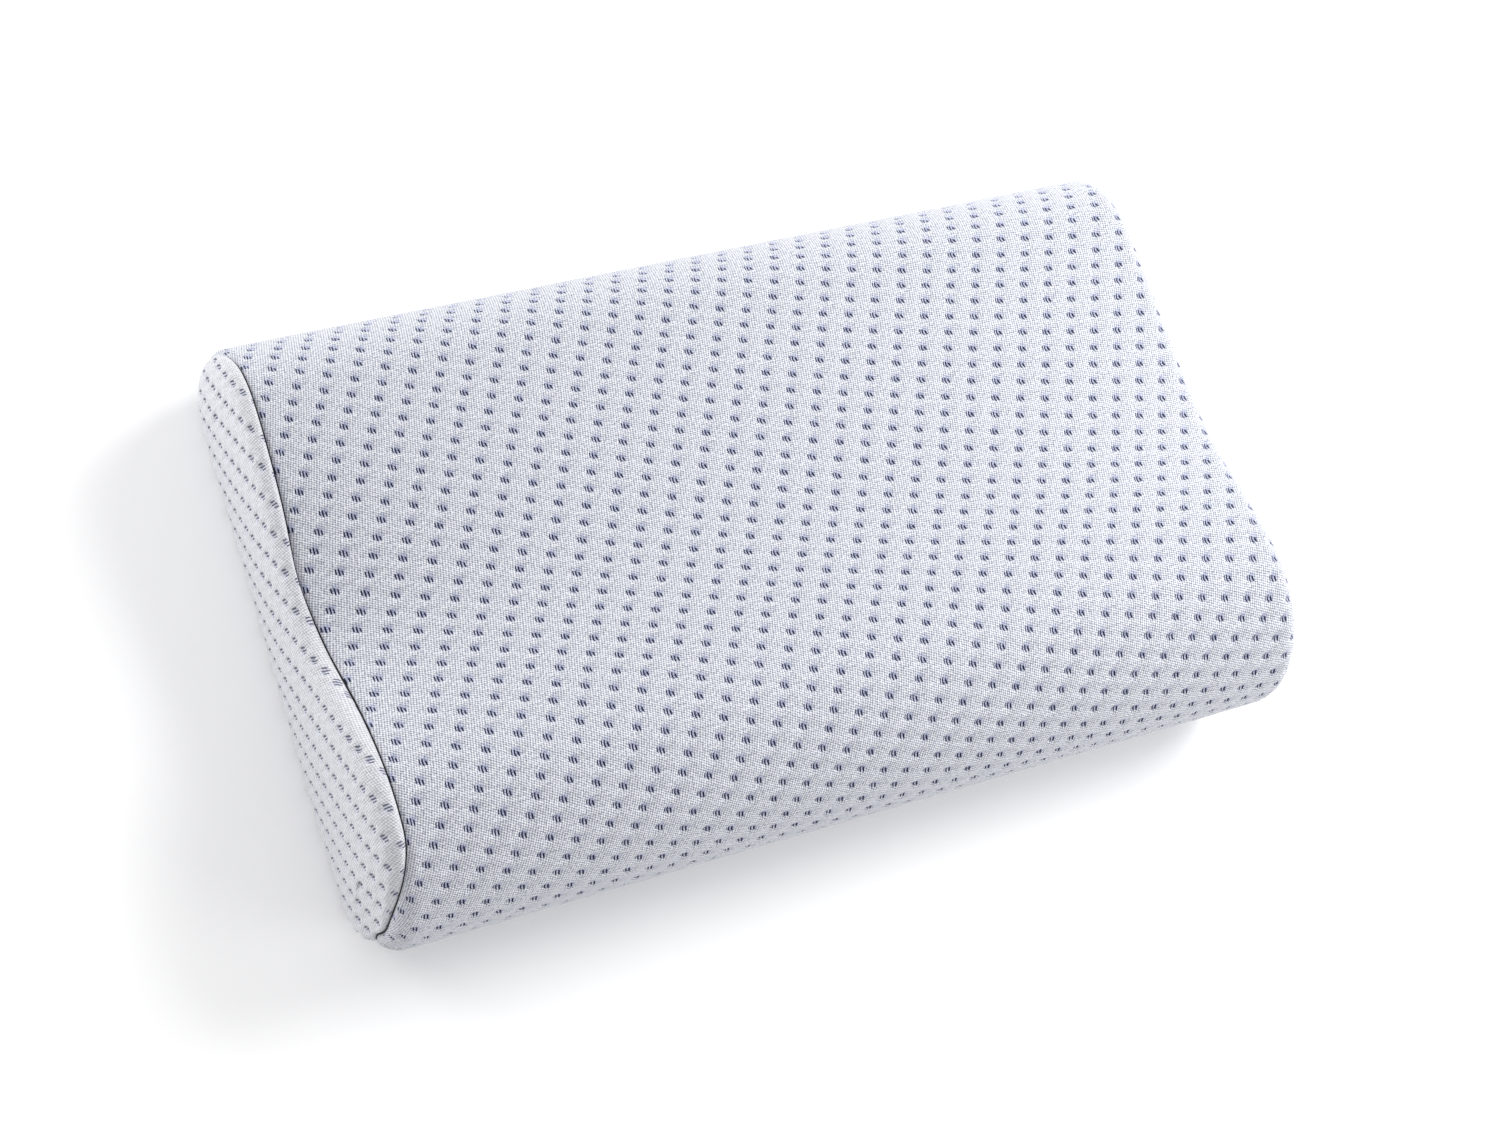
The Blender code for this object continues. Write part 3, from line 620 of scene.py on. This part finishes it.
def quilted_knit(name, repeat, yarn, loop_shade, ink, ink_share, dimple_shade_share):
    """Air-layer jacquard knit, polyester: matt, with a short bright fuzz at grazing angles. Its
    ground is white yarn with grey painted shade between the loops and a bluish grey painted shade
    round the strokes, and the coloured yarn shows at the dimples."""
    made, tree, shader = material(name, Roughness=0.9, Specular_IOR_Level=0.25,
                                  Sheen_Weight=0.25, Sheen_Roughness=0.5)
    cloth = add(tree, "ShaderNodeUVMap", uv_map="cloth").outputs[0]
    near = from_dimple(tree, cloth, repeat)
    stitch = stitches(tree, cloth)
    # Loose fibres, really finer than 0.1 mm, drawn as flecks that are coarse enough to show.
    fleck = add(tree, "ShaderNodeTexNoise",
                {"Vector": cloth, "Scale": 1 / (1.3 * MM), "Detail": 2.0, "Roughness": 0.7})
    speck = add(tree, "ShaderNodeMapRange", {0: fleck.outputs[0], 1: 0.3, 2: 0.7, 3: 0.1, 4: 0.9})
    light = add(tree, "ShaderNodeMath", {0: stitch, 1: 0.28, 2: speck.outputs[0]},
                operation="MULTIPLY_ADD")
    # Painted shade: between the loops the ground darkens to a bluish grey, as shade in the knit's
    # creases; the flecks vary it at random.
    ground = add(tree, "ShaderNodeMix", {0: light.outputs[0], 6: colour(loop_shade), 7: colour(yarn)},
                 data_type="RGBA")
    # A bluish grey painted shade round the strokes, set off to one side of them: the dimple's shading,
    # painted into the colour.
    off = add(tree, "ShaderNodeVectorMath", {0: near, 1: (0.7 * MM, -0.7 * MM, 0)},
              operation="SUBTRACT")
    far = add(tree, "ShaderNodeVectorMath", {0: off.outputs[0]}, operation="LENGTH")
    dimple_shade = add(tree, "ShaderNodeMapRange",
               {0: far.outputs["Value"], 1: 0.8 * MM, 2: 3.2 * MM, 3: dimple_shade_share, 4: 0})
    shaded = add(tree, "ShaderNodeMix", {0: dimple_shade.outputs[0], 6: ground.outputs[2], 7: colour("#959BC6")},
                 data_type="RGBA")
    share = add(tree, "ShaderNodeMath", {0: strokes(tree, near), 1: ink_share}, operation="MULTIPLY")
    marked = add(tree, "ShaderNodeMix", {0: share.outputs[0], 6: shaded.outputs[2], 7: colour(ink)},
                 data_type="RGBA")
    tree.links.new(marked.outputs[2], shader.inputs["Base Color"])
    bump = add(tree, "ShaderNodeBump", {"Height": stitch, "Strength": 0.5, "Distance": 0.12 * MM})
    tree.links.new(bump.outputs[0], shader.inputs["Normal"])
    return made


def worn(name, base, second, scale, low, high, detail=4.0, bump=0.0, **surface):
    """A finish whose colour and roughness drift together with one noise, sized in metres."""
    made, tree, shader = material(name, **surface)
    place = add(tree, "ShaderNodeTexCoord").outputs["Object"]
    drift = add(tree, "ShaderNodeTexNoise", {"Vector": place, "Scale": 1 / scale, "Detail": detail})
    tone = add(tree, "ShaderNodeMix", {0: drift.outputs[0], 6: colour(base), 7: colour(second)},
               data_type="RGBA")
    rough = add(tree, "ShaderNodeMapRange", {0: drift.outputs[0], 3: low, 4: high})
    tree.links.new(tone.outputs[2], shader.inputs["Base Color"])
    tree.links.new(rough.outputs[0], shader.inputs["Roughness"])
    if bump:
        relief = add(tree, "ShaderNodeBump", {"Height": drift.outputs[0], "Distance": bump})
        tree.links.new(relief.outputs[0], shader.inputs["Normal"])
    return made


# ---- Finishes ----------------------------------------------------------------------------------
# The top and bottom: a matt white jacquard ground, stippled grey by painted shade between its
# loops, with short navy strokes in soft dimples and a bluish grey painted shade round them.
TOP_KNIT = quilted_knit("air_layer_knit_top", TOP_REPEAT, "#DEDFE2", "#73798A", "#070F33", 1.0, 0.45)
# The ends: the same knit painted paler, as a lit copy for the brighter light on the ends: faint
# painted shade between the loops and round the strokes, so almost plain white, with thinner and greyer
# strokes.
END_KNIT = quilted_knit("air_layer_knit_end_lit_copy", END_REPEAT, "#D9D9DC", "#A4A6AE", "#18224A", 0.8, 0.15)
# Moulded polyurethane foam: pale cream and quite matt, with a fine open grain of pores.
FOAM = worn("memory_foam", "#EFE9D6", "#F6F2E4", 0.9 * MM, 0.85, 1.0, bump=0.3 * MM, Sheen_Weight=0.1)
# Single jersey, knitted: off-white and matt, softer and smoother than the foam below it.
JERSEY = worn("inner_jersey", "#EDEDEA", "#F6F6F4", 0.7 * MM, 0.8, 0.95, bump=0.1 * MM, Sheen_Weight=0.2)
# Woven polyester tape: pale grey and flat, with a dull grain of threads.
TAPE = worn("zip_tape", "#CBCDD2", "#DADBDF", 0.6 * MM, 0.7, 0.9, bump=0.1 * MM, Sheen_Weight=0.15)
# Extruded nylon, wound in a coil or moulded as a stop: pale and smooth, with soft bright highlights.
NYLON = worn("nylon_coil", "#D2D3D7", "#DBDCE0", 3 * MM, 0.3, 0.42, Coat_Weight=0.2)
# Nickel-plated zinc, die cast: bright metal whose reflections are slightly uneven.
ZINC = worn("plated_zinc", "#C3C5C9", "#D6D8DB", 2 * MM, 0.16, 0.3, Metallic=1.0)
# Spun polyester sewing thread: pale and nearly matt, so the hems show fine dashes.
THREAD = worn("sewing_thread", "#C9CBD1", "#DDDEE1", 0.5 * MM, 0.6, 0.8)
# The same thread in the depth of an end seam, painted near black: painted shade, so the seam shows as a
# thin dark line.
PAINTED_SHADE_THREAD = worn("painted_seam_shade", "#090A0E", "#15171D", 0.5 * MM, 0.7, 0.9)


# ---- Pieces ------------------------------------------------------------------------------------
def settle(piece, body, slot, *nodes, fill=None):
    """Attaches a piece to the body it moves with and hides the CAD nodes that it stands for. slot, its
    finish, and fill, its filling, are not used.
    """
    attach(piece, body)
    if nodes:
        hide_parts(*nodes)


settle(closed_form("foam_core_moulded", FOAM, 0.0, 5 * MM),
       "pillow", "memory_foam", "foam_core", fill=1.0)
jersey = closed_form("inner_cover_jersey", JERSEY, 0.9 * MM, 4 * MM)
wall = jersey.modifiers.new("wall", "SOLIDIFY")
wall.thickness, wall.offset = 0.55 * MM, -1
settle(jersey, "pillow", "inner_jersey", "inner_cover", fill=0.9)
settle(long_panel("top_cover", TOP_KNIT, FRONT_SEAM + 0.2 * MM, ZIP_TOP, False, True),
       "pillow", "air_layer_knit", "top_panel", fill=0.6)
settle(long_panel("bottom_cover", TOP_KNIT, ZIP_BOTTOM, ROUND + FRONT_SEAM - 0.2 * MM, True, False),
       "pillow", "air_layer_knit", "bottom_panel", fill=0.6)
settle(end_panel("left_end_cover", END_KNIT, -1, LEFT_TAUTNESS, nose_share),
       "pillow", "air_layer_knit", "end_panel_left", fill=0.6)
settle(end_panel("right_end_cover", END_KNIT, 1, RIGHT_TAUTNESS, np.ones_like),
       "pillow", "air_layer_knit", "end_panel_right", fill=0.6)


def painted_seam_shade(name, side):
    """The thread at the bottom of an end seam, once round the pillow, coloured near black as painted
    shade for the seam's shadow line.
    """
    arcs = ring_arcs(1200)
    path = cover_surface(side * seam_run(side, arcs), arcs, SEAM_FLOOR + 0.3 * MM + 0 * arcs)
    heading = follow(np.vstack([path[-1:], path, path[:1]]))[1:-1]
    out = np.array([1.0, 0, 0])
    thread = carried(name, path, out, np.cross(heading, out), round_profile(0.9 * MM, 1.0 * MM, 6),
                     PAINTED_SHADE_THREAD, closed=True)
    settle(thread, "pillow", "zip_tape")


painted_seam_shade("left_end_seam_shade", -1)
painted_seam_shade("right_end_seam_shade", 1)


# ---- The zip -----------------------------------------------------------------------------------
ZIP_POINT, ZIP_OUT = (np.append(0, v) for v in contour(ZIP_MIDDLE))
ZIP_DOWN = np.cross(ZIP_OUT, (1.0, 0, 0))       # from the top panel's tape to the bottom panel's
ZIP_DOWN *= np.sign(-ZIP_DOWN[2])
COIL_RISE = 4.5 * MM
COIL_PITCH = 1.3 * MM


def tape(name, node, side):
    """A zip tape: a thin flat profile with a thicker corded edge by the coil, that follows the
    foam's outline from the coil to under the panel, along the pillow from seam to seam."""
    across = np.array([1.0, 1.6, 2.6, 4, 6, 8, 10, 12, 12, 10, 8, 6, 4, 2.6, 1.6, 1.0]) * MM
    over = [3.2, 3.45, 3.3, 3.2, 3.2, 3.2, 3.2, 3.15]
    under = [2.75, 2.7, 2.7, 2.7, 2.7, 2.65, 2.6, 2.7]
    rise = np.array(over + under) * MM
    ends = [end * (seam_run(end, ZIP_MIDDLE) - SEAM_WIDTH) for end in (-1, 1)]
    run = np.linspace(*ends, 240)[:, None]
    places = cover_surface(run, ZIP_MIDDLE + side * across, rise + 0 * run)
    settle(tube(name, places[None], TAPE), "pillow", "zip_tape", node)


def coil(name, node, side):
    """One side of the zip: a nylon thread wound in a flattened helix. Its turns reach a little past
    the zip's middle, half a turn from those of the other side."""
    turns = int(2 * COIL_END / COIL_PITCH)
    turn = np.linspace(0, TAU * turns, 14 * turns)
    x = np.linspace(-COIL_END, COIL_END, len(turn)) + (side > 0) * COIL_PITCH / 2
    x = np.clip(x, -COIL_END, COIL_END)
    across = side * (1.45 - 1.5 * np.cos(turn)) * MM
    rise = COIL_RISE + 0.75 * MM * np.sin(turn)
    path = ZIP_POINT + x[:, None] * (1.0, 0, 0) + across[:, None] * ZIP_DOWN + rise[:, None] * ZIP_OUT
    heading = follow(path)
    side_way = np.cross(heading, (1.0, 0, 0))
    side_way /= np.linalg.norm(side_way, axis=1, keepdims=True)
    made = carried(name, path, side_way, np.cross(heading, side_way),
                   round_profile(0.44 * MM, 0.44 * MM, 6), NYLON)
    settle(made, "pillow", "nylon_coil", node)


def hem_stitches(name, arc, rise):
    """A row of lockstitches: each a short thick thread that dips into the knit at both ends."""
    pitch, length = 2.8 * MM, 2.3 * MM
    starts = np.arange(-END_SEAM + 8 * MM, END_SEAM - 8 * MM, pitch)
    share = np.linspace(0, 1, 5)
    x = starts[:, None] + share * length
    point, normal = contour(np.full(x.shape, arc))
    lift = rise + 0.22 * MM * np.sin(np.pi * share) - 0.12 * MM
    flat = point + normal * lift[None, :, None]
    path = np.concatenate([x[..., None], flat], 2)
    up = np.concatenate([np.zeros((*x.shape, 1)), normal], 2)
    made = carried(name, path, np.cross(up, (1.0, 0, 0)), up,
                   round_profile(0.42 * MM, 0.42 * MM, 6), THREAD)
    settle(made, "pillow", "zip_tape")


def softened(name, node, finish, width, body, slot):
    """A copy of a CAD node with its edges rounded over by width."""
    made = frame["nodes"][node].copy()
    made.data = made.data.copy()
    made.name = made.data.name = name
    made.parent = None
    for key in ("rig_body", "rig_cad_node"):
        if key in made:
            del made[key]
    bpy.context.scene.collection.objects.link(made)
    work = bmesh.new()
    work.from_mesh(made.data)
    bmesh.ops.remove_doubles(work, verts=work.verts, dist=1e-6)
    bmesh.ops.dissolve_limit(work, angle_limit=0.02, verts=work.verts, edges=work.edges)
    work.to_mesh(made.data)
    work.free()
    made.data.materials.clear()
    made.data.materials.append(finish)
    made.data.polygons.foreach_set("use_smooth", np.ones(len(made.data.polygons), bool))
    round_over = made.modifiers.new("round_over", "BEVEL")
    round_over.width, round_over.segments = width, 3
    round_over.limit_method, round_over.angle_limit = "ANGLE", np.radians(30)
    round_over.harden_normals = True
    settle(made, body, slot, node)


tape("zip_tape_top", "zip_tape_upper", -1)
tape("zip_tape_bottom", "zip_tape_lower", 1)
coil("zip_coil_top", "zip_coil_upper", -1)
coil("zip_coil_bottom", "zip_coil_lower", 1)
hem_stitches("hem_stitches_top", ZIP_TOP - 2.4 * MM, SKIN + HEM_RISE)
hem_stitches("hem_stitches_bottom", ZIP_BOTTOM + 2.4 * MM, SKIN + HEM_RISE)
softened("stop_closed_end", "zip_stop_closed_end", NYLON, 0.4 * MM, "pillow", "nylon_coil")
softened("stop_open_end", "zip_stop_open_end", NYLON, 0.4 * MM, "pillow", "nylon_coil")
softened("slider", "zip_slider_body", ZINC, 0.25 * MM, "slider", "plated_zinc")
softened("pull_tab", "zip_pull_tab", ZINC, 0.3 * MM, "pull_tab", "plated_zinc")


# ---- Floor, light and camera -------------------------------------------------------------------
def studio():
    """A plain pale floor, a pale sky and three soft lamps."""
    reach = 6.0
    corners = reach * np.array([(-1, -1, 0), (1, -1, 0), (1, 1, 0), (-1, 1, 0)])
    paper, tree, shader = material("matt_paper", Roughness=0.95)
    grain = add(tree, "ShaderNodeTexNoise", {"Scale": 40.0})
    tone = add(tree, "ShaderNodeMix", {0: grain.outputs[0], 6: colour("#F8F8F9"), 7: colour("#FCFCFC")},
               data_type="RGBA")
    tree.links.new(tone.outputs[2], shader.inputs["Base Color"])
    floor = make_piece("floor", corners, [np.array([[0, 1, 2, 3]])], paper)
    world = bpy.data.worlds.new("studio")
    bpy.context.scene.world = world
    world.use_nodes = True
    sky = world.node_tree.nodes["Background"]
    sky.inputs[0].default_value = (1, 1, 1, 1)
    sky.inputs[1].default_value = 0.76
    for name, place, size, power in (
        ("key", (0.95, 0.35, 0.9), 0.9, 19.5),
        ("fill", (-1.0, 0.8, 0.22), 0.5, 8.0),
        ("front", (1.3, -1.1, 0.6), 0.9, 9.5),
    ):
        lamp = bpy.data.lights.new(name, "AREA")
        lamp.size, lamp.energy = size, power
        holder = bpy.data.objects.new(name, lamp)
        holder.location = place
        towards = Vector((0, 0, 0.05)) - Vector(place)
        holder.rotation_euler = towards.to_track_quat("-Z", "Y").to_euler()
        bpy.context.scene.collection.objects.link(holder)


def camera():
    """A camera above the front left corner, looking down at the pillow and turned a little."""
    lens = bpy.data.cameras.new("camera")
    lens.sensor_width, lens.lens = 36, 72.56
    lens.clip_start, lens.clip_end = 0.05, 50
    seat = bpy.data.objects.new("camera", lens)
    back = -Vector((0.41464, 0.18933, -0.89007)).normalized()
    right = Vector((0.88353, -0.3179, 0.34398))
    right = (right - back * right.dot(back)).normalized()
    turn = Matrix((right, back.cross(right), back)).transposed()
    seat.matrix_world = Matrix.Translation((-0.6435, -0.3026, 1.3991)) @ turn.to_4x4()
    bpy.context.scene.collection.objects.link(seat)
    bpy.context.scene.camera = seat


studio()
camera()
bpy.context.scene.view_settings.view_transform = "Standard"
